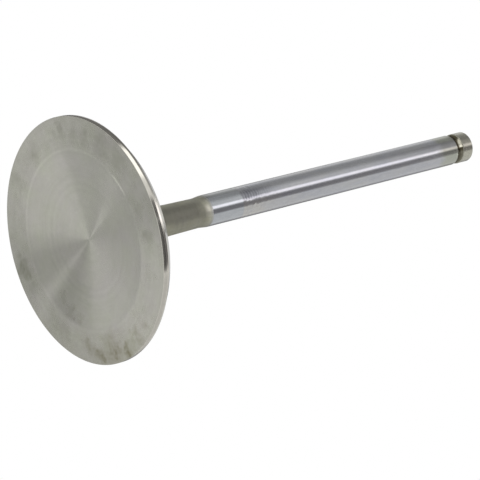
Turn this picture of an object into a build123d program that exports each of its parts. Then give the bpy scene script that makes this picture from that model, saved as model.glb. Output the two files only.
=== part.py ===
from build123d import *
from math import radians, tan
import os

# One-piece engine intake valve, standing on its head.
# Origin: middle of the head's flat face. +Z runs up the stem to the tip. Millimetres.

# Driving dimensions
head_diameter = 52.8
stem_diameter = 7.0
overall_length = 113.7

# Head
margin_height = 1.45        # plain cylindrical band round the head
margin_edge_radius = 0.15   # broken edge between face and margin
seat_width = 2.0            # 45 degree seat, measured along the radius
back_angle = 12.0           # rise of the back of the head towards the neck, degrees
underhead_radius = 19.0     # tulip curve that carries the head into the neck

# Dished combustion face
dish_diameter = 39.0
dish_depth = 1.85

# Relieved neck, thinner than the stem so that the gas flows past it
neck_diameter = 6.5         # at its thinnest, just under the shoulder
neck_taper = 1.0            # growth towards the head, degrees
shoulder_foot = 30.8        # height where the neck starts to widen
shoulder_top = 32.9         # height where the stem reaches full diameter
shoulder_radius = 8.0       # blends both ends of the shoulder

# Stem end
groove_height = 109.4       # middle of the keeper groove
groove_radius = 1.0         # round-bottomed groove section
groove_depth = 0.7
groove_lip_radius = 0.12
tip_chamfer = 0.4

head_radius = head_diameter / 2
dish_radius = dish_diameter / 2
stem_radius = stem_diameter / 2
neck_radius = neck_diameter / 2

# The seat ends at (seat_inner, seat_top). From there the back of the head rises
# to the corner where it would meet the tapered neck, and the tulip curve rounds
# that corner off.
seat_inner = head_radius - seat_width
seat_top = margin_height + seat_width
back_slope = tan(radians(back_angle))
neck_slope = tan(radians(neck_taper))
neck_at_seat = neck_radius + neck_slope * (shoulder_foot - seat_top)
corner_radius = (neck_at_seat - neck_slope * back_slope * seat_inner) / (1 - neck_slope * back_slope)
corner_height = seat_top + back_slope * (seat_inner - corner_radius)

# The dish is a cap of this sphere.
dish_sphere_radius = (dish_radius**2 + dish_depth**2) / (2 * dish_depth)

with BuildPart() as valve:
    # Turned body: stem end, face, margin and seat, then the back of the head,
    # the tulip curve, the neck, the shoulder and the stem.
    with BuildSketch(Plane.XZ):
        with BuildLine():
            Polyline(
                (stem_radius, overall_length),
                (0, overall_length),
                (0, 0),
                (head_radius, 0),
                (head_radius, margin_height),
                (seat_inner, seat_top),
            )
            FilletPolyline(
                (seat_inner, seat_top),
                (corner_radius, corner_height),
                (neck_radius, shoulder_foot),
                (stem_radius, shoulder_top),
                (stem_radius, overall_length),
                radius=(underhead_radius, shoulder_radius, shoulder_radius),
            )
        make_face()
    revolve(axis=Axis.Z)

    # Shallow dish inside the flat rim of the face.
    with BuildSketch(Plane.XZ):
        with BuildLine():
            RadiusArc((0, dish_depth), (dish_radius, 0), dish_sphere_radius)
            Polyline((dish_radius, 0), (0, 0), (0, dish_depth))
        make_face()
    revolve(axis=Axis.Z, mode=Mode.SUBTRACT)

    # Keeper groove, with its two lips eased.
    with BuildSketch(Plane.XZ):
        with Locations((stem_radius - groove_depth + groove_radius, groove_height)):
            Circle(groove_radius)
    revolve(axis=Axis.Z, mode=Mode.SUBTRACT)
    groove_lips = (
        valve.edges()
        .filter_by(GeomType.CIRCLE)
        .filter_by_position(Axis.Z, groove_height - groove_radius, groove_height + groove_radius)
    )
    fillet(groove_lips, groove_lip_radius)

    # Tip chamfer, and the broken edge between face and margin.
    circles = valve.edges().filter_by(GeomType.CIRCLE)
    chamfer(circles.sort_by(Axis.Z)[-1], tip_chamfer)
    fillet(circles.group_by(Axis.Z)[0].sort_by(SortBy.RADIUS)[-1], margin_edge_radius)

valve.part.label = "valve"
os.makedirs("parts", exist_ok=True)
export_step(valve.part, "parts/valve.step")
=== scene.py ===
from math import asin, atan2, cos, degrees, pi, radians, sin, sqrt, tan
import bmesh
import bpy
from mathutils import Euler, Matrix, Vector


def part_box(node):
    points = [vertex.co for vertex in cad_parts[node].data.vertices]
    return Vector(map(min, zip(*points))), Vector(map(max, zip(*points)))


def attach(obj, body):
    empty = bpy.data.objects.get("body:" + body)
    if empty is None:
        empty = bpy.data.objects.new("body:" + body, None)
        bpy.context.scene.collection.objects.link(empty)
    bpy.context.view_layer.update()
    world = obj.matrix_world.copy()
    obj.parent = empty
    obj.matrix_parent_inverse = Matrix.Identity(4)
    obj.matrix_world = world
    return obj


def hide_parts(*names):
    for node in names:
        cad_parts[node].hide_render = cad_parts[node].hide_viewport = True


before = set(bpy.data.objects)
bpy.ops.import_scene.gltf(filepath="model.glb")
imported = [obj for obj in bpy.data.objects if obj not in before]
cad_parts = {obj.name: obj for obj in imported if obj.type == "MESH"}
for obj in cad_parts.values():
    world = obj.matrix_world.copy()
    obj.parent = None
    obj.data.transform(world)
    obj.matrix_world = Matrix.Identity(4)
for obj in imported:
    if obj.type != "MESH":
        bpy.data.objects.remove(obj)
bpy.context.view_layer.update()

# ---------------------------------------------------------------------------
# Valve body: one forging of valve steel, turned all over and then ground or
# blasted zone by zone. It is one lathe form: dished face, margin, seat, back,
# tulip, neck, shoulder, stem, keeper groove, button and tip.

mm = 0.001
box_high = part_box("valve")[1]
head_radius = box_high.x
tip_height = box_high.z
dish_radius = 19.5 * mm
dish_depth = 1.85 * mm
face_edge_radius = 0.15 * mm
margin_height = 1.45 * mm
seat_width = 2.0 * mm
seat_edge_radius = 0.35 * mm
back_angle = radians(12)
underhead_radius = 19 * mm
neck_radius = 3.25 * mm
neck_taper = radians(1)
shoulder_foot = 30.8 * mm
shoulder_top = 32.9 * mm
shoulder_radius = 8 * mm
stem_radius = 3.5 * mm
plating_start = 33.06 * mm
groove_height = 109.4 * mm
groove_radius = 1.0 * mm
groove_depth = 0.7 * mm
groove_lip_radius = 0.12 * mm
tip_chamfer = 0.4 * mm


def at(radius, height):
    """A place on the outline."""
    return Vector((radius, 0, height))


def run_to(outline, here, place, length=2 * mm):
    """Draws the outline straight on from here to place, and returns its new end."""
    start = here.co.copy()
    steps = max(1, round((place - start).length / length))
    for step in range(1, steps + 1):
        here = bmesh.ops.extrude_vert_indiv(outline, verts=[here])["verts"][0]
        here.co = start.lerp(place, step / steps)
    return here


def turn_about(outline, here, centre, angle, steps):
    """Draws the outline on from here round an arc, and returns its new end."""
    arc = bmesh.ops.spin(outline, geom=[here], cent=centre, axis=(0, 1, 0), angle=angle, steps=steps)
    return arc["geom_last"][0]


def round_corner(outline, here, corner, onward, radius, steps):
    """Draws the outline up to a corner and round it, tangent to both sides."""
    first = (corner - here.co).normalized()
    second = (onward - corner).normalized()
    bend = first.angle(second)
    here = run_to(outline, here, corner - first * radius * tan(bend / 2))
    pivot = first.cross(second).normalized()
    centre = here.co + pivot.cross(first) * radius
    return turn_about(outline, here, centre, bend * pivot.y, steps)


outline = bmesh.new()
end = outline.verts.new(at(0, dish_depth))

# Dish and flat rim of the combustion face
dish_sphere = (dish_radius**2 + dish_depth**2) / (2 * dish_depth)
dish_turn = asin(dish_radius / dish_sphere)
end = turn_about(outline, end, at(0, dish_depth - dish_sphere), dish_turn, steps=16)
margin_end = at(head_radius, margin_height)
end = round_corner(outline, end, at(head_radius, 0), margin_end, face_edge_radius, steps=12)

# Margin and 45 degree seat
seat_end = at(head_radius - seat_width, margin_height + seat_width)
end = round_corner(outline, end, margin_end, seat_end, seat_edge_radius, steps=5)
margin_top = end.co.z - seat_edge_radius * sin(radians(45))
end = run_to(outline, end, seat_end, length=0.5 * mm)

# Back of the head, tulip and neck
back_slope = tan(back_angle)
neck_slope = tan(neck_taper)
neck_at_seat = neck_radius + neck_slope * (shoulder_foot - seat_end.z)
tulip_radius = (neck_at_seat - neck_slope * back_slope * seat_end.x) / (1 - neck_slope * back_slope)
tulip_corner = at(tulip_radius, seat_end.z + back_slope * (seat_end.x - tulip_radius))
neck_end = at(neck_radius, shoulder_foot)
shoulder_end = at(stem_radius, shoulder_top)
groove_centre = at(stem_radius - groove_depth + groove_radius, groove_height)
lip_inset = stem_radius - groove_lip_radius
lip_rise = sqrt((groove_radius + groove_lip_radius) ** 2 - (groove_centre.x - lip_inset) ** 2)
groove_start = at(stem_radius, groove_height - lip_rise)
end = round_corner(outline, end, tulip_corner, neck_end, underhead_radius, steps=30)
end = round_corner(outline, end, neck_end, shoulder_end, shoulder_radius, steps=6)
end = round_corner(outline, end, shoulder_end, groove_start, shoulder_radius, steps=6)

# Stem, then the keeper groove between its two lips
lip_turn = atan2(lip_rise, groove_centre.x - lip_inset)
end = run_to(outline, end, groove_start, length=1 * mm)
end = turn_about(outline, end, at(lip_inset, groove_height - lip_rise), -lip_turn, steps=9)
end = turn_about(outline, end, groove_centre, 2 * lip_turn, steps=24)
end = turn_about(outline, end, at(lip_inset, groove_height + lip_rise), -lip_turn, steps=9)

# Button and tip
end = run_to(outline, end, at(stem_radius, tip_height - tip_chamfer), length=0.6 * mm)
end = run_to(outline, end, at(stem_radius - tip_chamfer, tip_height))
end = run_to(outline, end, at(0, tip_height), length=0.8 * mm)

# The outline turned once round the stem's axis
steps_round = 256
same_place = 0.001 * mm
bmesh.ops.spin(outline, geom=outline.verts[:] + outline.edges[:], cent=(0, 0, 0), axis=(0, 0, 1),
               angle=2 * pi, steps=steps_round, use_merge=True)
bmesh.ops.remove_doubles(outline, verts=outline.verts, dist=same_place)
bmesh.ops.recalc_face_normals(outline, faces=outline.faces)

# Edges that bend by less than this are shaded smooth
smooth_bend = radians(9)
for edge in outline.edges:
    edge.smooth = edge.calc_face_angle(0) < smooth_bend

# Each zone of the body has its own finish, from the face up to the tip
FACE, MARGIN, SEAT, BACK, STEM, END, TIP = range(7)
for face in outline.faces:
    face.smooth = True
    middle = face.calc_center_median()
    looks_down = face.normal.z < -0.5
    looks_up = face.normal.z > 0.9
    if looks_down and middle.z < dish_depth:
        face.material_index = FACE
    elif middle.z < margin_top:
        face.material_index = MARGIN
    elif middle.z < seat_end.z:
        face.material_index = SEAT
    elif middle.z < plating_start:
        face.material_index = BACK
    elif middle.z < groove_start.z:
        face.material_index = STEM
    elif looks_up:
        face.material_index = TIP
    else:
        face.material_index = END

valve_mesh = bpy.data.meshes.new("valve_body")
outline.to_mesh(valve_mesh)
outline.free()
valve = bpy.data.objects.new("valve_body", valve_mesh)
bpy.context.scene.collection.objects.link(valve)
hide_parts("valve")
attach(valve, "root")

# ---------------------------------------------------------------------------
# Combustion face: a shallow dish in a flat rim, faced off on a lathe. It has
# been handled and stored, so oil and carbon have left stains on it.

def linear(code):
    """An sRGB hex colour as the linear values that a shader takes."""
    parts = [int(code[i:i + 2], 16) / 255 for i in (1, 3, 5)]
    return [p / 12.92 if p <= 0.04045 else ((p + 0.055) / 1.055) ** 2.4 for p in parts] + [1.0]


def node(tree, kind, inputs=(), output=0, **settings):
    """Adds a shader node, sets it, fills its inputs with values or links, and gives one output."""
    made = tree.nodes.new("ShaderNode" + kind)
    for name, value in settings.items():
        setattr(made, name, value)
    for name, value in dict(inputs).items():
        if isinstance(value, bpy.types.NodeSocket):
            tree.links.new(value, made.inputs[name])
        else:
            made.inputs[name].default_value = value
    return made.outputs[output] if made.outputs else made


def finish(name):
    """An empty material for one finish of the valve, or for one thing in the studio."""
    material = bpy.data.materials.new(name)
    material.use_nodes = True
    material.node_tree.nodes.clear()
    return material, material.node_tree


def valve_places(tree):
    """Where a point of the valve is, in mm: its place, radius and height, and its direction from the axis."""
    place = node(tree, "TexCoord", output="Object")
    place = node(tree, "VectorMath", {0: place, "Scale": 1 / mm}, operation="SCALE")
    flat = node(tree, "VectorMath", {0: place, 1: (1, 1, 0)}, operation="MULTIPLY")
    radius = node(tree, "VectorMath", {0: flat}, output="Value", operation="LENGTH")
    height = node(tree, "SeparateXYZ", {0: place}, output="Z")
    outwards = node(tree, "VectorMath", {0: flat}, operation="NORMALIZE")
    return place, radius, height, outwards


def patches(tree, place, size, low, high, detail=3.0):
    """A cloudy pattern with patches of about the given size in mm, from low to high."""
    cloud = node(tree, "TexNoise", {"Vector": place, "Scale": 1 / size, "Detail": detail, "Roughness": 0.6})

    # Noise seldom strays outside 0.3 to 0.7
    return node(tree, "MapRange", {0: cloud, 1: 0.3, 2: 0.7, 3: low, 4: high})


def side(tree, outwards, compass, reach):
    """One side of the valve: 1 at a compass angle from the front round to the left, and 0 a reach away."""
    middle = (-sin(radians(compass)), -cos(radians(compass)), 0)
    facing = node(tree, "VectorMath", {0: outwards, 1: middle}, output="Value", operation="DOT_PRODUCT")
    return node(tree, "MapRange", {0: facing, 1: cos(radians(reach)), 2: 1}, interpolation_type="SMOOTHSTEP")


# Turned steel is a soft mirror. Its marks are rings that lean a little inwards, so it
# spreads each light into a ray across them, and the rays open like a fan from the middle
turned_steel, tree = finish("turned_valve_steel")
place, radius, _, outwards = valve_places(tree)
inward_lean = 0.1
across_rings = 0.25
lean = node(tree, "VectorMath", {0: outwards, "Scale": -inward_lean}, operation="SCALE")
normal = node(tree, "VectorMath", {0: node(tree, "NewGeometry", output="Normal"), 1: lean}, operation="ADD")
normal = node(tree, "VectorMath", {0: normal}, operation="NORMALIZE")

# Feed marks 0.1 mm apart are too fine to show, so the rings are drawn 0.8 mm apart
rings_per_mm = 1.2
rings = node(tree, "TexNoise", {"W": radius, "Scale": rings_per_mm, "Detail": 2}, noise_dimensions="1D")
rings = node(tree, "MapRange", {0: rings, 1: 0.3, 2: 0.7, 3: 0.98, 4: 1.02})

# The steel is an uneven olive grey, and some of its patches are drawn out along the rings
drawn_out = (6, 6, 6)
round_rings = node(tree, "CombineXYZ", {"Z": radius})
round_rings = node(tree, "VectorMath", {0: outwards, 1: drawn_out, 2: round_rings}, operation="MULTIPLY_ADD")
bloom = patches(tree, place, 7, 0, 1)
steel = node(tree, "Mix", {0: bloom, 6: linear("#9E9F94"), 7: linear("#A09E99")}, output=2, data_type="RGBA")
shade = node(tree, "Math", {0: rings, 1: patches(tree, place, 1.2, 0.98, 1.02)}, operation="MULTIPLY")
shade = node(tree, "Math", {0: shade, 1: patches(tree, round_rings, 2.5, 0.98, 1.02)}, operation="MULTIPLY")

# The corner between dish and rim carries a painted highlight, brightest at one place in front
corner_radius = 19.4
corner = node(tree, "Math", {0: radius, 1: corner_radius}, operation="SUBTRACT")
corner = node(tree, "Math", {0: corner}, operation="ABSOLUTE")
corner = node(tree, "MapRange", {0: corner, 1: 0.05, 2: 0.5, 3: 1, 4: 0})
corner_highlight = node(tree, "MapRange", {0: side(tree, outwards, 90, 120), 3: 0.02, 4: 0.07})
corner_highlight = node(tree, "Math", {0: side(tree, outwards, 29, 9), 1: 0.38, 2: corner_highlight}, operation="MULTIPLY_ADD")
corner_highlight = node(tree, "Math", {0: corner, 1: corner_highlight, 2: 1}, operation="MULTIPLY_ADD")
shade = node(tree, "Math", {0: shade, 1: corner_highlight}, operation="MULTIPLY")

# Two arcs of the rim are brighter from the corner outwards: on the far arc a painted highlight along the
# corner, on the right arc a paler patch
right_arc = side(tree, outwards, -36, 44)
far_arc = side(tree, outwards, -133, 30)
brighter_arcs = node(tree, "Math", {0: right_arc, 1: far_arc}, operation="ADD")
past_dish = node(tree, "MapRange", {0: radius, 1: corner_radius - 1, 2: corner_radius})
brighter_arcs = node(tree, "Math", {0: past_dish, 1: brighter_arcs}, operation="MULTIPLY")
brighter_arcs = node(tree, "MapRange", {0: brighter_arcs, 3: 1, 4: 1.12})
shade = node(tree, "Math", {0: shade, 1: brighter_arcs}, operation="MULTIPLY")

# One ray of the fan is painted brighter near the middle of the dish, a painted highlight
streak = node(tree, "MapRange", {0: radius, 1: 7, 2: 12, 3: 0.14, 4: 0})
streak = node(tree, "Math", {0: streak, 1: side(tree, outwards, 31, 9), 2: 1}, operation="MULTIPLY_ADD")
shade = node(tree, "Math", {0: shade, 1: streak}, operation="MULTIPLY")
steel = node(tree, "VectorMath", {0: steel, "Scale": shade}, operation="SCALE")

# Stains: x, y, size in mm and strength
stains = (
    (3.2, 23.0, 3.2, 0.5), (-1.0, 24.0, 2.0, 0.35), (6.5, 21.5, 2.2, 0.25), (3.5, 20.5, 1.8, 0.2),
    (23.6, -1.5, 5.0, 0.5), (24.0, 3.5, 3.2, 0.75), (24.2, -2.0, 3.0, 0.65), (24.3, -6.5, 3.0, 0.85),
    (22.3, 6.5, 2.6, 0.4), (20.8, -10.0, 1.8, 0.6), (23.0, -10.5, 2.2, 0.6), (18.0, 14.0, 2.8, 0.1),
    (13.5, 10.5, 2.4, 0.32), (10.5, 12.5, 2.2, 0.28), (16.0, 8.5, 2.0, 0.25), (11.0, 6.5, 4.5, 0.08),
    (7.0, 9.0, 2.6, 0.08), (-24.0, -2.0, 2.2, 0.5), (-23.0, 1.0, 1.6, 0.3), (-21.5, -5.5, 2.4, 0.24),
    (-20.5, -9.5, 2.4, 0.26), (-18.0, -14.5, 5.0, 0.2), (-14.0, -18.5, 3.6, 0.2), (-20.5, 9.5, 3.2, 0.3),
    (-4.0, -21.5, 2.6, 0.14), (2.0, -22.0, 2.4, 0.3), (-16.0, 17.0, 3.0, 0.2), (19.5, -14.0, 2.4, 0.25),
)
half_depth = dish_depth / mm / 2

# Their outlines wander up to 3 mm either way, in bends about 3 mm long
wander = (6, 6, 0)
bend = node(tree, "TexNoise", {"Vector": place, "Scale": 0.35, "Detail": 4}, output="Color")
bend = node(tree, "VectorMath", {0: bend, 1: (0.5, 0.5, 0.5)}, operation="SUBTRACT")
bent = node(tree, "VectorMath", {0: bend, 1: wander, 2: place}, operation="MULTIPLY_ADD")
stain = 0.0
for x, y, size, strength in stains:
    away = node(tree, "VectorMath", {0: bent, 1: (x, y, half_depth)}, output="Value", operation="DISTANCE")
    spot = node(tree, "MapRange", {0: away, 1: 0.2 * size, 2: 1.1 * size, 3: strength, 4: 0},
                interpolation_type="SMOOTHSTEP")
    stain = node(tree, "Math", {0: stain, 1: spot}, operation="MAXIMUM")

# They are mottled, and wiped into streaks along the rings
wiped = node(tree, "VectorMath", {0: place, 1: (0.75, 1.1, 1)}, operation="MULTIPLY")
stain = node(tree, "Math", {0: stain, 1: patches(tree, wiped, 0.8, 0.4, 1.1, detail=5)}, operation="MULTIPLY")
stain = node(tree, "Math", {0: stain, 1: patches(tree, round_rings, 1.5, 0.6, 1.3)}, operation="MULTIPLY")

# A thin film covers the whole face, and is thicker on the rim
rim = node(tree, "MapRange", {0: radius, 1: 18.8, 2: 20.5}, interpolation_type="SMOOTHSTEP")
film = node(tree, "MapRange", {0: rim, 3: 0.04, 4: 0.12})
film = node(tree, "Math", {0: film, 1: patches(tree, place, 3, 0.4, 1.6)}, operation="MULTIPLY")
stain = node(tree, "Math", {0: stain, 1: film}, operation="ADD", use_clamp=True)

# Dried oil is olive, and browner to the right. It dulls the steel under it
across = node(tree, "SeparateXYZ", {0: place}, output="X")
across = node(tree, "MapRange", {0: across, 1: 12, 2: 20})
dirt = node(tree, "Mix", {0: across, 6: linear("#676857"), 7: linear("#6E6A52")}, output=2, data_type="RGBA")
metal = node(tree, "BsdfPrincipled", {
    "Base Color": node(tree, "Mix", {0: stain, 6: steel, 7: dirt}, output=2, data_type="RGBA"),
    "Metallic": 1.0, "Roughness": node(tree, "MapRange", {0: stain, 3: 0.25, 4: 0.4}),
    "Anisotropic": 1.0, "Anisotropic Rotation": across_rings,
    "Tangent": node(tree, "Tangent", direction_type="RADIAL", axis="Z"), "Normal": normal})
node(tree, "OutputMaterial", {"Surface": metal})
valve_mesh.materials.append(turned_steel)

# ---------------------------------------------------------------------------
# Margin: the plain band round the head, between the face and the seat. It is
# the same steel, cylindrically ground with the stem as its axis.

# Finely ground steel is a soft mirror. Its lower half is rolled a little towards the face
margin_steel, tree = finish("ground_margin_steel")
place, _, height, outwards = valve_places(tree)
roll = 0.2
rolled = node(tree, "MapRange", {0: height, 1: 0.75, 2: 1.25, 3: -roll, 4: 0})
rolled = node(tree, "CombineXYZ", {"Z": rolled})
normal = node(tree, "VectorMath", {0: node(tree, "NewGeometry", output="Normal"), 1: rolled}, operation="ADD")
normal = node(tree, "VectorMath", {0: normal}, operation="NORMALIZE")

# Two arcs of its upper half are painted darker, as painted shade
left_arc = side(tree, outwards, 42, 45)
right_arc = side(tree, outwards, -12, 10)
upper_half = node(tree, "MapRange", {0: height, 1: 0.9, 2: 1.2})
painted_shade = node(tree, "Math", {0: left_arc, 1: right_arc}, operation="ADD")
painted_shade = node(tree, "Math", {0: upper_half, 1: painted_shade}, operation="MULTIPLY")
shade = node(tree, "MapRange", {0: painted_shade, 3: 1, 4: 0.42})
shade = node(tree, "Math", {0: shade, 1: patches(tree, place, 1.2, 0.94, 1.04)}, operation="MULTIPLY")
steel = node(tree, "VectorMath", {0: linear("#C6C3BA")[:3], "Scale": shade}, operation="SCALE")
metal = node(tree, "BsdfPrincipled", {
    "Base Color": steel, "Metallic": 1.0, "Roughness": 0.15, "Normal": normal})
node(tree, "OutputMaterial", {"Surface": metal})
valve_mesh.materials.append(margin_steel)

# ---------------------------------------------------------------------------
# Seat: the 45 degree band of the head that closes on the seat ring. It is the
# same steel, ground to a fine finish, and a short arc of it is painted pale and matt, a painted highlight.

# The ground seat is a grey, soft mirror; one short arc is painted pale and made matt, a painted highlight
seat_steel, tree = finish("ground_seat_steel")
place, _, _, outwards = valve_places(tree)
highlight_arc = side(tree, outwards, 5, 10)
steel = node(tree, "Mix", {0: highlight_arc, 6: linear("#A09E96"), 7: linear("#DEDCD4")}, output=2, data_type="RGBA")
uneven = patches(tree, place, 1.2, 0.94, 1.04)
steel = node(tree, "VectorMath", {0: steel, "Scale": uneven}, operation="SCALE")
matt = node(tree, "MapRange", {0: highlight_arc, 3: 0.2, 4: 0.6})
metal = node(tree, "BsdfPrincipled", {"Base Color": steel, "Metallic": 1.0, "Roughness": matt})
node(tree, "OutputMaterial", {"Surface": metal})
valve_mesh.materials.append(seat_steel)

# ---------------------------------------------------------------------------
# Back of the head, tulip, neck and shoulder: the same steel, turned, then
# blasted. The front of the neck is darker and browner.

browned_to = 31.5
shoulder_rub_start = 30.9
shoulder_rub_end = 32.2
chrome_meets = 33.0
shoulder_glint = 31.9

# Blasted steel scatters light, so it is dull and a little olive
blasted_steel, tree = finish("blasted_valve_steel")
place, radius, height, outwards = valve_places(tree)
section = node(tree, "CombineXYZ", {"X": radius, "Y": height})
up_neck = node(tree, "CombineXYZ", {"Z": height})
up_neck = node(tree, "VectorMath", {0: outwards, 1: drawn_out, 2: up_neck}, operation="MULTIPLY_ADD")
up_neck = node(tree, "VectorMath", {0: up_neck, 1: (1, 1, 0.3)}, operation="MULTIPLY")
olive = patches(tree, place, 5, 0, 1)
steel = node(tree, "Mix", {0: olive, 6: linear("#91907F"), 7: linear("#8E8D83")}, output=2, data_type="RGBA")

# It is darker and browner at the front, nearly up to the shoulder
brown = node(tree, "MapRange", {0: height, 1: browned_to - 2.5, 2: browned_to, 3: 1, 4: 0})
brown = node(tree, "Math", {0: side(tree, outwards, 14, 44), 1: brown}, operation="MULTIPLY")
brown = node(tree, "Math", {0: brown, 1: patches(tree, up_neck, 3, 0.7, 1.1)}, operation="MULTIPLY")
steel = node(tree, "Mix", {0: brown, 6: steel, 7: linear("#706F66")}, output=2, data_type="RGBA")

# Blasting grit is too fine to show, so it is drawn 0.8 mm across, over turned rings and
# long streaks, and the left side is painted lighter, as painted light
rings = patches(tree, section, 0.9, 0.96, 1.04)
shade = node(tree, "Math", {0: patches(tree, place, 0.8, 0.94, 1.06), 1: rings}, operation="MULTIPLY")
shade = node(tree, "Math", {0: shade, 1: patches(tree, up_neck, 1.5, 0.95, 1.05)}, operation="MULTIPLY")
pale = node(tree, "MapRange", {0: side(tree, outwards, 90, 60), 3: 1, 4: 1.15})
shade = node(tree, "Math", {0: shade, 1: pale}, operation="MULTIPLY")

# Handling has rubbed the shoulder smoother, and its front is painted lighter as painted light; it meets the
# chrome without a step
rubbed = node(tree, "MapRange", {0: height, 1: shoulder_rub_start, 2: shoulder_rub_end})
front = node(tree, "MapRange", {0: side(tree, outwards, -20, 45), 3: 1.06, 4: 1.38})
front = node(tree, "Math", {0: side(tree, outwards, -13, 16), 1: 0.4, 2: front}, operation="MULTIPLY_ADD")
front = node(tree, "Mix", {0: rubbed, 2: 1.0, 3: front})
shade = node(tree, "Math", {0: shade, 1: front}, operation="MULTIPLY")
greyer = node(tree, "MapRange", {0: height, 1: shoulder_rub_end, 2: chrome_meets, 4: 0.8})
steel = node(tree, "Mix", {0: greyer, 6: steel, 7: linear("#90918F")}, output=2, data_type="RGBA")

# A short arc of the shoulder carries a painted highlight, a glint
shoulder_highlight = node(tree, "Math", {0: height, 1: shoulder_glint}, operation="SUBTRACT")
shoulder_highlight = node(tree, "Math", {0: shoulder_highlight}, operation="ABSOLUTE")
shoulder_highlight = node(tree, "MapRange", {0: shoulder_highlight, 1: 0.1, 2: 0.8, 3: 1, 4: 0})
shoulder_highlight = node(tree, "Math", {0: shoulder_highlight, 1: side(tree, outwards, 9, 19)}, operation="MULTIPLY")
steel = node(tree, "Mix", {0: shoulder_highlight, 6: steel, 7: linear("#A8A69A")}, output=2, data_type="RGBA")
metal = node(tree, "BsdfPrincipled", {
    "Base Color": node(tree, "VectorMath", {0: steel, "Scale": shade}, operation="SCALE"), "Metallic": 1.0,
    "Roughness": node(tree, "MapRange", {0: rubbed, 3: 0.6, 4: 0.42})})
node(tree, "OutputMaterial", {"Surface": metal})
valve_mesh.materials.append(blasted_steel)

# ---------------------------------------------------------------------------
# Stem: the same steel, ground, then hard-chromed from the shoulder nearly up to
# the groove. The guide has worn it from a sharp line onwards, less and less.

# Heights on the stem, in mm
worn_from = 41.7
worn_to = 54
rougher_from = 45
edge_shade_start = 62
edge_shade_end = 80
darker_start = 80
darker_end = 100
plating_end = 103.1
soak_start = 107
soak_end = 108.5

# Ground chrome is a cool, soft mirror, with fine rings that spread each reflection along the stem
chrome, tree = finish("ground_hard_chrome")
place, _, height, outwards = valve_places(tree)
on_stem = (3.5, 3.5, 3.5)
up_stem = node(tree, "CombineXYZ", {"Z": height})
up_stem = node(tree, "VectorMath", {0: outwards, 1: on_stem, 2: up_stem}, operation="MULTIPLY_ADD")
long_marks = node(tree, "VectorMath", {0: up_stem, 1: (1, 1, 0.25)}, operation="MULTIPLY")
worn = node(tree, "MapRange", {0: height, 1: worn_from - 0.1, 2: worn_from + 0.2})
fading = node(tree, "MapRange", {0: height, 1: worn_from + 1, 2: worn_to, 3: 1, 4: 0},
              interpolation_type="SMOOTHSTEP")
rubbed = node(tree, "Math", {0: worn, 1: fading}, operation="MULTIPLY")

# Chatter about 0.8 mm apart makes reflections wavy at the front, where the guide has rubbed
# most, and hardly at all elsewhere
elsewhere = 0.08
ripples = node(tree, "VectorMath", {0: up_stem, 1: (0.6, 0.6, 1.4)}, operation="MULTIPLY")
chatter = patches(tree, ripples, 1.1, -1, 1, detail=1)
roughed = node(tree, "Math", {0: rubbed, 1: side(tree, outwards, 0, 110)}, operation="MULTIPLY")
roughed = node(tree, "Math", {0: roughed, 1: elsewhere}, operation="ADD")
chatter = node(tree, "Math", {0: chatter, 1: roughed}, operation="MULTIPLY")
normal = node(tree, "Bump", {"Height": chatter, "Distance": 0.018 * mm, "Strength": 1.0})

# Worn chrome is bluer, under a pale, streaky film of dried oil
chromed = node(tree, "Mix", {0: worn, 6: linear("#A3A6A9"), 7: linear("#A0A2A8")}, output=2, data_type="RGBA")
film = node(tree, "Math", {0: patches(tree, long_marks, 2.5, 0, 0.6), 1: worn}, operation="MULTIPLY")
right_film = node(tree, "Math", {0: rubbed, 1: side(tree, outwards, -40, 45)}, operation="MULTIPLY")
streaky = patches(tree, long_marks, 1.4, 0.2, 1.6)
film = node(tree, "Math", {0: right_film, 1: streaky, 2: film}, operation="MULTIPLY_ADD", use_clamp=True)
chromed = node(tree, "Mix", {0: film, 6: chromed, 7: linear("#ADACA9")}, output=2, data_type="RGBA")

# The chrome ends raggedly below the groove, and the bare steel beyond is browned in front
bare = node(tree, "Math", {0: height, 1: patches(tree, long_marks, 2.0, -1.2, 1.2)}, operation="ADD")
bare = node(tree, "MapRange", {0: bare, 1: plating_end - 1.4, 2: plating_end + 1.4},
            interpolation_type="SMOOTHSTEP")
cloudy = patches(tree, up_stem, 2, 0.6, 1.1)
brown = node(tree, "Math", {0: side(tree, outwards, 11, 28), 1: cloudy}, operation="MULTIPLY")
steel = node(tree, "Mix", {0: brown, 6: linear("#9B9D94"), 7: linear("#84837B")}, output=2, data_type="RGBA")
surface = node(tree, "Mix", {0: bare, 6: chromed, 7: steel}, output=2, data_type="RGBA")

# A smudge lies where the guide has rubbed, scuffed in rings about 0.7 mm apart
scuff_shape = {"Scale": 0.45, "Distortion": 4, "Detail": 2, "Detail Scale": 1}
scuffs = node(tree, "TexWave", {"Vector": up_stem, **scuff_shape}, output="Fac", bands_direction="Z")
scuffs = node(tree, "MapRange", {0: scuffs, 3: 0.6, 4: 1.1})
smudge = node(tree, "Math", {0: side(tree, outwards, 21, 26), 1: rubbed}, operation="MULTIPLY")
smudge = node(tree, "Math", {0: smudge, 1: patches(tree, up_stem, 2, 0.6, 1.2)}, operation="MULTIPLY")
smudge = node(tree, "Math", {0: smudge, 1: scuffs}, operation="MULTIPLY", use_clamp=True)
surface = node(tree, "Mix", {0: smudge, 6: surface, 7: linear("#75767C")}, output=2, data_type="RGBA")

# The chrome is darker in a strip towards its end
darker_strip = node(tree, "MapRange", {0: height, 1: darker_start, 2: darker_end, 3: 0, 4: 0.6})
darker_strip = node(tree, "Math", {0: darker_strip, 1: side(tree, outwards, 22, 20)}, operation="MULTIPLY")
surface = node(tree, "Mix", {0: darker_strip, 6: surface, 7: linear("#838388")}, output=2, data_type="RGBA")
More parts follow.
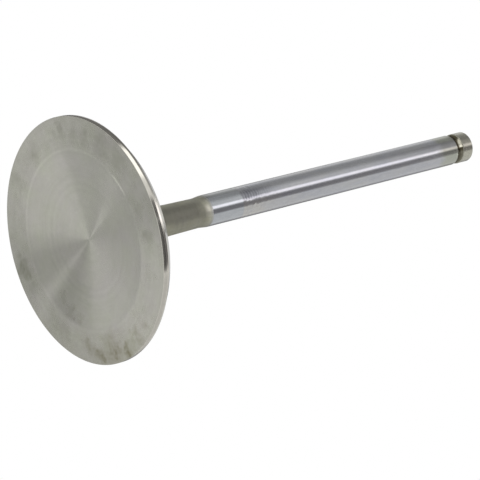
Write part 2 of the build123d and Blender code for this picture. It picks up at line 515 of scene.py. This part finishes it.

# Oil from the shoulder darkens one side next to it, and painted shade carries that on more faintly to the
# wear line. Oil has soaked down from the groove
creep_end = plating_start / mm + 1.6
oil_and_shade = node(tree, "MapRange", {0: height, 1: plating_start / mm, 2: creep_end, 3: 0.8, 4: 0.33})
oil_and_shade = node(tree, "Mix", {0: worn, 2: oil_and_shade, 3: 0.0})
oil_and_shade = node(tree, "Math", {0: oil_and_shade, 1: side(tree, outwards, 68, 29)}, operation="MULTIPLY")
surface = node(tree, "Mix", {0: oil_and_shade, 6: surface, 7: linear("#6F6F66")}, output=2, data_type="RGBA")
soaked = node(tree, "MapRange", {0: height, 1: soak_start, 2: soak_end, 3: 0, 4: 0.6})
soaked = node(tree, "Math", {0: soaked, 1: side(tree, outwards, 66, 40)}, operation="MULTIPLY")
surface = node(tree, "Mix", {0: soaked, 6: surface, 7: linear("#5F5B4E")}, output=2, data_type="RGBA")

# Fine unevenness all over, and a strip of painted shade that darkens the right side. The worn chrome
# grows a little less shiny towards its end
grain = patches(tree, place, 0.8, 0.97, 1.03)
shade = node(tree, "Math", {0: grain, 1: patches(tree, long_marks, 0.8, 0.96, 1.04)}, operation="MULTIPLY")
edge_shade = node(tree, "MapRange", {0: height, 1: edge_shade_start, 2: edge_shade_end, 3: 0, 4: 0.38})
edge_shade = node(tree, "Math", {0: edge_shade, 1: side(tree, outwards, -79, 17)}, operation="MULTIPLY")
edge_shade = node(tree, "Math", {0: 1.0, 1: edge_shade}, operation="SUBTRACT")
shade = node(tree, "Math", {0: shade, 1: edge_shade}, operation="MULTIPLY")
rougher = node(tree, "MapRange", {0: height, 1: rougher_from, 2: plating_end, 3: 0.19, 4: 0.22})
rougher = node(tree, "Mix", {0: worn, 2: 0.17, 3: rougher})
metal = node(tree, "BsdfPrincipled", {
    "Base Color": node(tree, "VectorMath", {0: surface, "Scale": shade}, operation="SCALE"), "Metallic": 1.0,
    "Roughness": rougher, "Anisotropic": 0.5, "Anisotropic Rotation": across_rings,
    "Tangent": node(tree, "Tangent", direction_type="RADIAL", axis="Z"), "Normal": normal})
node(tree, "OutputMaterial", {"Surface": metal})
valve_mesh.materials.append(chrome)

# ---------------------------------------------------------------------------
# Keeper groove and button: the same steel with no chrome, ground round. The
# groove is dark brown, and an arc of its upper wall carries a painted highlight.

# Plain ground steel is a warm grey, softer mirror than the chrome
end_steel, tree = finish("ground_stem_end")
place, radius, height, outwards = valve_places(tree)
inside_groove = 3.3
on_its_lip = 3.48
sunk = node(tree, "MapRange", {0: radius, 1: inside_groove, 2: on_its_lip, 3: 1, 4: 0})

# The upper wall starts above the middle of the groove, and lower where the painted highlight is widest
groove_middle = groove_height / mm
wall_foot = side(tree, outwards, 3, 40)
wall_foot = node(tree, "MapRange", {0: wall_foot, 3: groove_middle + 0.55, 4: groove_middle + 0.2})
up_wall = node(tree, "Math", {0: height, 1: wall_foot}, operation="SUBTRACT")
upper_wall = node(tree, "MapRange", {0: up_wall, 1: 0, 2: 0.25})

# The groove is dark brown, less so on the right side, most of all on the upper wall there
dark_by_side = node(tree, "MapRange", {0: side(tree, outwards, -70, 62), 1: 0, 2: 0.3, 3: 0.92, 4: 0.68})
lower_wall = node(tree, "MapRange", {0: dark_by_side, 3: 0.5, 4: 0.94})
groove_dark = node(tree, "Mix", {0: upper_wall, 2: lower_wall, 3: dark_by_side})
groove_dark = node(tree, "Math", {0: groove_dark, 1: sunk}, operation="MULTIPLY")
cloudy = patches(tree, place, 2, 0.7, 1.1)
brown = node(tree, "Math", {0: side(tree, outwards, 14, 32), 1: cloudy}, operation="MULTIPLY")
steel = node(tree, "Mix", {0: brown, 6: linear("#9F9E92"), 7: linear("#85837A")}, output=2, data_type="RGBA")
steel = node(tree, "Mix", {0: groove_dark, 6: steel, 7: linear("#37321F")}, output=2, data_type="RGBA")

# An arc of the upper wall carries a painted highlight
painted_highlight = node(tree, "Math", {0: side(tree, outwards, 22, 23), 1: 0.6}, operation="MULTIPLY")
painted_highlight = node(tree, "Math", {0: side(tree, outwards, 5, 7), 1: 1.5, 2: painted_highlight},
                operation="MULTIPLY_ADD", use_clamp=True)
groove_highlight = node(tree, "Math", {0: upper_wall, 1: sunk}, operation="MULTIPLY")
groove_highlight = node(tree, "Math", {0: groove_highlight, 1: painted_highlight}, operation="MULTIPLY")
steel = node(tree, "Mix", {0: groove_highlight, 6: steel, 7: linear("#EAE6D4")}, output=2, data_type="RGBA")
grain = patches(tree, place, 0.4, 0.88, 1.12)
shade = node(tree, "Math", {0: grain, 1: patches(tree, place, 2, 0.95, 1.05)}, operation="MULTIPLY")
metal = node(tree, "BsdfPrincipled", {
    "Base Color": node(tree, "VectorMath", {0: steel, "Scale": shade}, operation="SCALE"), "Metallic": 1.0,
    "Roughness": 0.24, "Anisotropic": 0.5, "Anisotropic Rotation": across_rings,
    "Tangent": node(tree, "Tangent", direction_type="RADIAL", axis="Z")})
node(tree, "OutputMaterial", {"Surface": metal})
valve_mesh.materials.append(end_steel)

# ---------------------------------------------------------------------------
# Tip: the end of the stem that the rocker presses on. It is the same steel,
# ground flat across inside its chamfer.

# Flat grinding leaves no rings, so the tip is an even, dull grey from every side
tip_steel, tree = finish("ground_tip_steel")
place = valve_places(tree)[0]
uneven = patches(tree, place, 1, 0.95, 1.05)
steel = node(tree, "VectorMath", {0: linear("#9F9E92")[:3], "Scale": uneven}, operation="SCALE")
metal = node(tree, "BsdfPrincipled", {"Base Color": steel, "Metallic": 1.0, "Roughness": 0.5})
node(tree, "OutputMaterial", {"Surface": metal})
valve_mesh.materials.append(tip_steel)

# ---------------------------------------------------------------------------
# Floor: a wide pale table top that fades into the white background. It is clear
# from below, so that the face shows, and clear to shadow rays and to rays that
# have only just left the metal, so that it doesn't darken the face.

floor_drop = 0.2 * mm
clear_reach = 12 * mm
fade_start = 0.1
fade_end = 0.4

table = bmesh.new()
bmesh.ops.create_circle(table, cap_ends=True, segments=64, radius=4)
bmesh.ops.translate(table, verts=table.verts, vec=(0, 0, -floor_drop))
floor_mesh = bpy.data.meshes.new("floor")
table.to_mesh(floor_mesh)
table.free()
floor = bpy.data.objects.new("floor", floor_mesh)
bpy.context.scene.collection.objects.link(floor)

# Matt paper, which shows only the valve's soft shadow
pale_paper, tree = finish("pale_floor")
ray_length = node(tree, "LightPath", output="Ray Length")
near = node(tree, "Math", {0: ray_length, 1: clear_reach}, operation="LESS_THAN")
below = node(tree, "NewGeometry", output="Backfacing")
shadow = node(tree, "LightPath", output="Is Shadow Ray")
clear = node(tree, "Math", {0: near, 1: below}, operation="MAXIMUM")
clear = node(tree, "Math", {0: clear, 1: shadow}, operation="MAXIMUM")
distance = node(tree, "VectorMath", {0: node(tree, "TexCoord", output="Object")}, output="Value",
                operation="LENGTH")
far = node(tree, "MapRange", {0: distance, 1: fade_start, 2: fade_end}, interpolation_type="SMOOTHSTEP")
paper = node(tree, "BsdfDiffuse", {"Color": linear("#F4F4F3")})
white = node(tree, "Emission", {"Color": linear("#FFFFFF"), "Strength": 1.0})
table_top = node(tree, "MixShader", {0: far, 1: paper, 2: white})
surface = node(tree, "MixShader", {0: clear, 1: table_top, 2: node(tree, "BsdfTransparent")})
node(tree, "OutputMaterial", {"Surface": surface})
floor_mesh.materials.append(pale_paper)

# ---------------------------------------------------------------------------
# Studio: a white surround, one soft box overhead, and cards that the metal
# mirrors. The cards light nothing else and aren't seen by the camera.

white_level = 1.0
fill_level = 0.7

world = bpy.data.worlds.new("studio")
bpy.context.scene.world = world
world.use_nodes = True
tree = world.node_tree
tree.nodes.clear()
seen = node(tree, "LightPath", output="Is Camera Ray")
for kind_of_ray in ("Is Glossy Ray", "Is Transmission Ray"):
    other = node(tree, "LightPath", output=kind_of_ray)
    seen = node(tree, "Math", {0: seen, 1: other}, operation="MAXIMUM")
strength = node(tree, "MapRange", {0: seen, 3: fill_level, 4: white_level})
surround = node(tree, "Background", {"Color": linear("#FFFFFF"), "Strength": strength})
node(tree, "OutputWorld", {"Surface": surround})

lamp = bpy.data.lights.new("overhead", "AREA")
lamp.shape = "SQUARE"
lamp.size = 0.6
lamp.energy = 6
overhead = bpy.data.objects.new("overhead", lamp)
overhead.location = (-0.25, -0.15, 1.0)
overhead.rotation_euler = (-overhead.location).to_track_quat("-Z", "Y").to_euler()
overhead.visible_glossy = False
bpy.context.scene.collection.objects.link(overhead)


def hang(name, shape):
    """Hangs a shape where only mirrored rays see it, and gives the empty node tree of its material."""
    mesh = bpy.data.meshes.new(name)
    shape.to_mesh(mesh)
    shape.free()
    made = bpy.data.objects.new(name, mesh)
    bpy.context.scene.collection.objects.link(made)
    made.visible_camera = False
    made.visible_diffuse = False
    made.visible_transmission = False
    made.visible_shadow = False
    material, tree = finish(name)
    mesh.materials.append(material)
    return tree


def card(name, distance, compass, elevation, level, feather=4, colour="#FFFFFF"):
    """A curved card between two compass angles, from the front round to the left, and two elevations."""
    sheet = bmesh.new()
    lean_down = Euler((radians(-elevation[0]), 0, 0)).to_matrix()
    corner = sheet.verts.new(lean_down @ Vector((0, -distance, 0)))
    rise = radians(elevation[1] - elevation[0])
    bmesh.ops.spin(sheet, geom=[corner], cent=(0, 0, 0), axis=(1, 0, 0), angle=-rise, steps=24)
    first_edge = Matrix.Rotation(-radians(compass[0]), 3, "Z")
    bmesh.ops.rotate(sheet, verts=sheet.verts, cent=(0, 0, 0), matrix=first_edge)
    sweep = radians(compass[1] - compass[0])
    bmesh.ops.spin(sheet, geom=sheet.verts[:] + sheet.edges[:], cent=(0, 0, 0), axis=(0, 0, 1),
                   angle=-sweep, steps=48)

    # The card is clear along its two upright edges, and covers fully a feather's width in
    cover = sheet.verts.layers.float.new("cover")
    for vert in sheet.verts:
        turn = (atan2(-vert.co.x, -vert.co.y) - radians(compass[0]) + pi / 2) % (2 * pi) - pi / 2
        inside = min(turn, sweep - turn) / radians(feather)
        vert[cover] = min(1, max(0, inside))
    tree = hang(name, sheet)
    light = node(tree, "Emission", {"Color": linear(colour), "Strength": level})
    edge = node(tree, "Attribute", output="Fac", attribute_name="cover")
    feathered = node(tree, "MixShader", {0: edge, 1: node(tree, "BsdfTransparent"), 2: light})
    node(tree, "OutputMaterial", {"Surface": feathered})


# Cards that the stem, the groove and the button mirror
cool_white = "#FFFBFF"
card("strip_light", 0.60, (-3.5, 18.5), (23, 80), level=2.25, colour=cool_white)
card("front_flag", 0.62, (-43, -3), (23, 80), level=0.35, feather=8, colour=cool_white)
card("side_flag", 0.62, (37, 127), (23, 80), level=0.52, feather=26)
card("rear_flag", 0.59, (138, 239), (-5, 62), level=0.24, feather=28)

# Cards that the seat and the rounded edge under it mirror
card("ceiling_flag", 0.56, (19, 170), (60, 89.9), level=0.15)
card("ceiling_light", 0.56, (-100, -20), (62, 88), level=2.2)
card("seat_light", 0.55, (150, 210), (47, 62), level=0.8)

# Cards that the margin mirrors
card("margin_light", 0.60, (37, 71), (5, 27), level=1.95)
card("margin_side", 0.605, (22, 40), (5, 24), level=1.05)
card("margin_grey", 0.605, (8, 22), (5, 24), level=0.2)
card("margin_spot", 0.60, (1, 14), (8, 19), level=0.12)
card("margin_front_flag", 0.60, (-42, 4), (9, 24), level=0.09)
card("margin_side_flag", 0.605, (71, 178), (8, 35), level=0.23)
card("margin_shade", 0.605, (-180, -42), (8, 36), level=0.74)

# ---------------------------------------------------------------------------
# Fan light: a round screen below, made of pale and grey gores. The turned face
# mirrors it, and spreads each gore into a ray from the middle of the dish.

screen_distance = 0.8
screen_radius = 1.0
mirrored = Vector((0.0145, 0.7762, -0.6303))

# Where each gore starts, in degrees round the screen, and its level
first_gore = -20
fan_gores = ((first_gore, 0.9), (0, 1.1), (70, 1.05), (97, 1.32), (102, 1.02), (107, 0.93), (150, 1.2),
             (185, 1.25), (260, 1.0), (270, 0.74), (293, 1.12), (301, 0.68), (325, 0.8))
screen = bmesh.new()
bmesh.ops.create_circle(screen, cap_ends=True, cap_tris=True, segments=360, radius=screen_radius)
glow = screen.faces.layers.float.new("glow")
for gore in screen.faces:
    middle = gore.calc_center_median()
    angle = (degrees(atan2(middle.y, middle.x)) - first_gore) % 360 + first_gore
    gore[glow] = [level for start, level in fan_gores if angle >= start][-1]

# The screen stands square to the way in which the flat of the face mirrors the camera
leftwards = Vector((-1, 0, 0))
leftwards = (leftwards - leftwards.project(mirrored)).normalized()
away = mirrored.cross(leftwards).normalized()
turn = Matrix((leftwards, away, mirrored.normalized())).transposed().to_4x4()
bmesh.ops.transform(screen, matrix=Matrix.Translation(screen_distance * mirrored) @ turn, verts=screen.verts)
tree = hang("fan_light", screen)
level = node(tree, "Attribute", output="Fac", attribute_name="glow")
light = node(tree, "Emission", {"Color": linear("#FFFFFF"), "Strength": level})
node(tree, "OutputMaterial", {"Surface": light})

# ---------------------------------------------------------------------------
# Camera: a long lens, low in front of the head and looking up at its face. It is
# rolled, so that the valve lies on its side with the stem rising to the right.

camera_aim = Vector((8.02, -0.16, 40.92)) * mm
camera_place = Vector((0, -432.56, -310.18)) * mm
camera_up = Vector((-0.9702, -0.1414, 0.1966))
lens = bpy.data.cameras.new("camera")
lens.lens = 191.7
lens.sensor_width = 36
lens.clip_start = 0.01
camera = bpy.data.objects.new("camera", lens)
backward = (camera_place - camera_aim).normalized()
right = camera_up.cross(backward).normalized()
up = backward.cross(right)
facing = Matrix((right, up, backward)).transposed().to_4x4()
camera.matrix_world = Matrix.Translation(camera_place) @ facing
bpy.context.scene.collection.objects.link(camera)
bpy.context.scene.camera = camera
bpy.context.scene.view_settings.view_transform = "Standard"
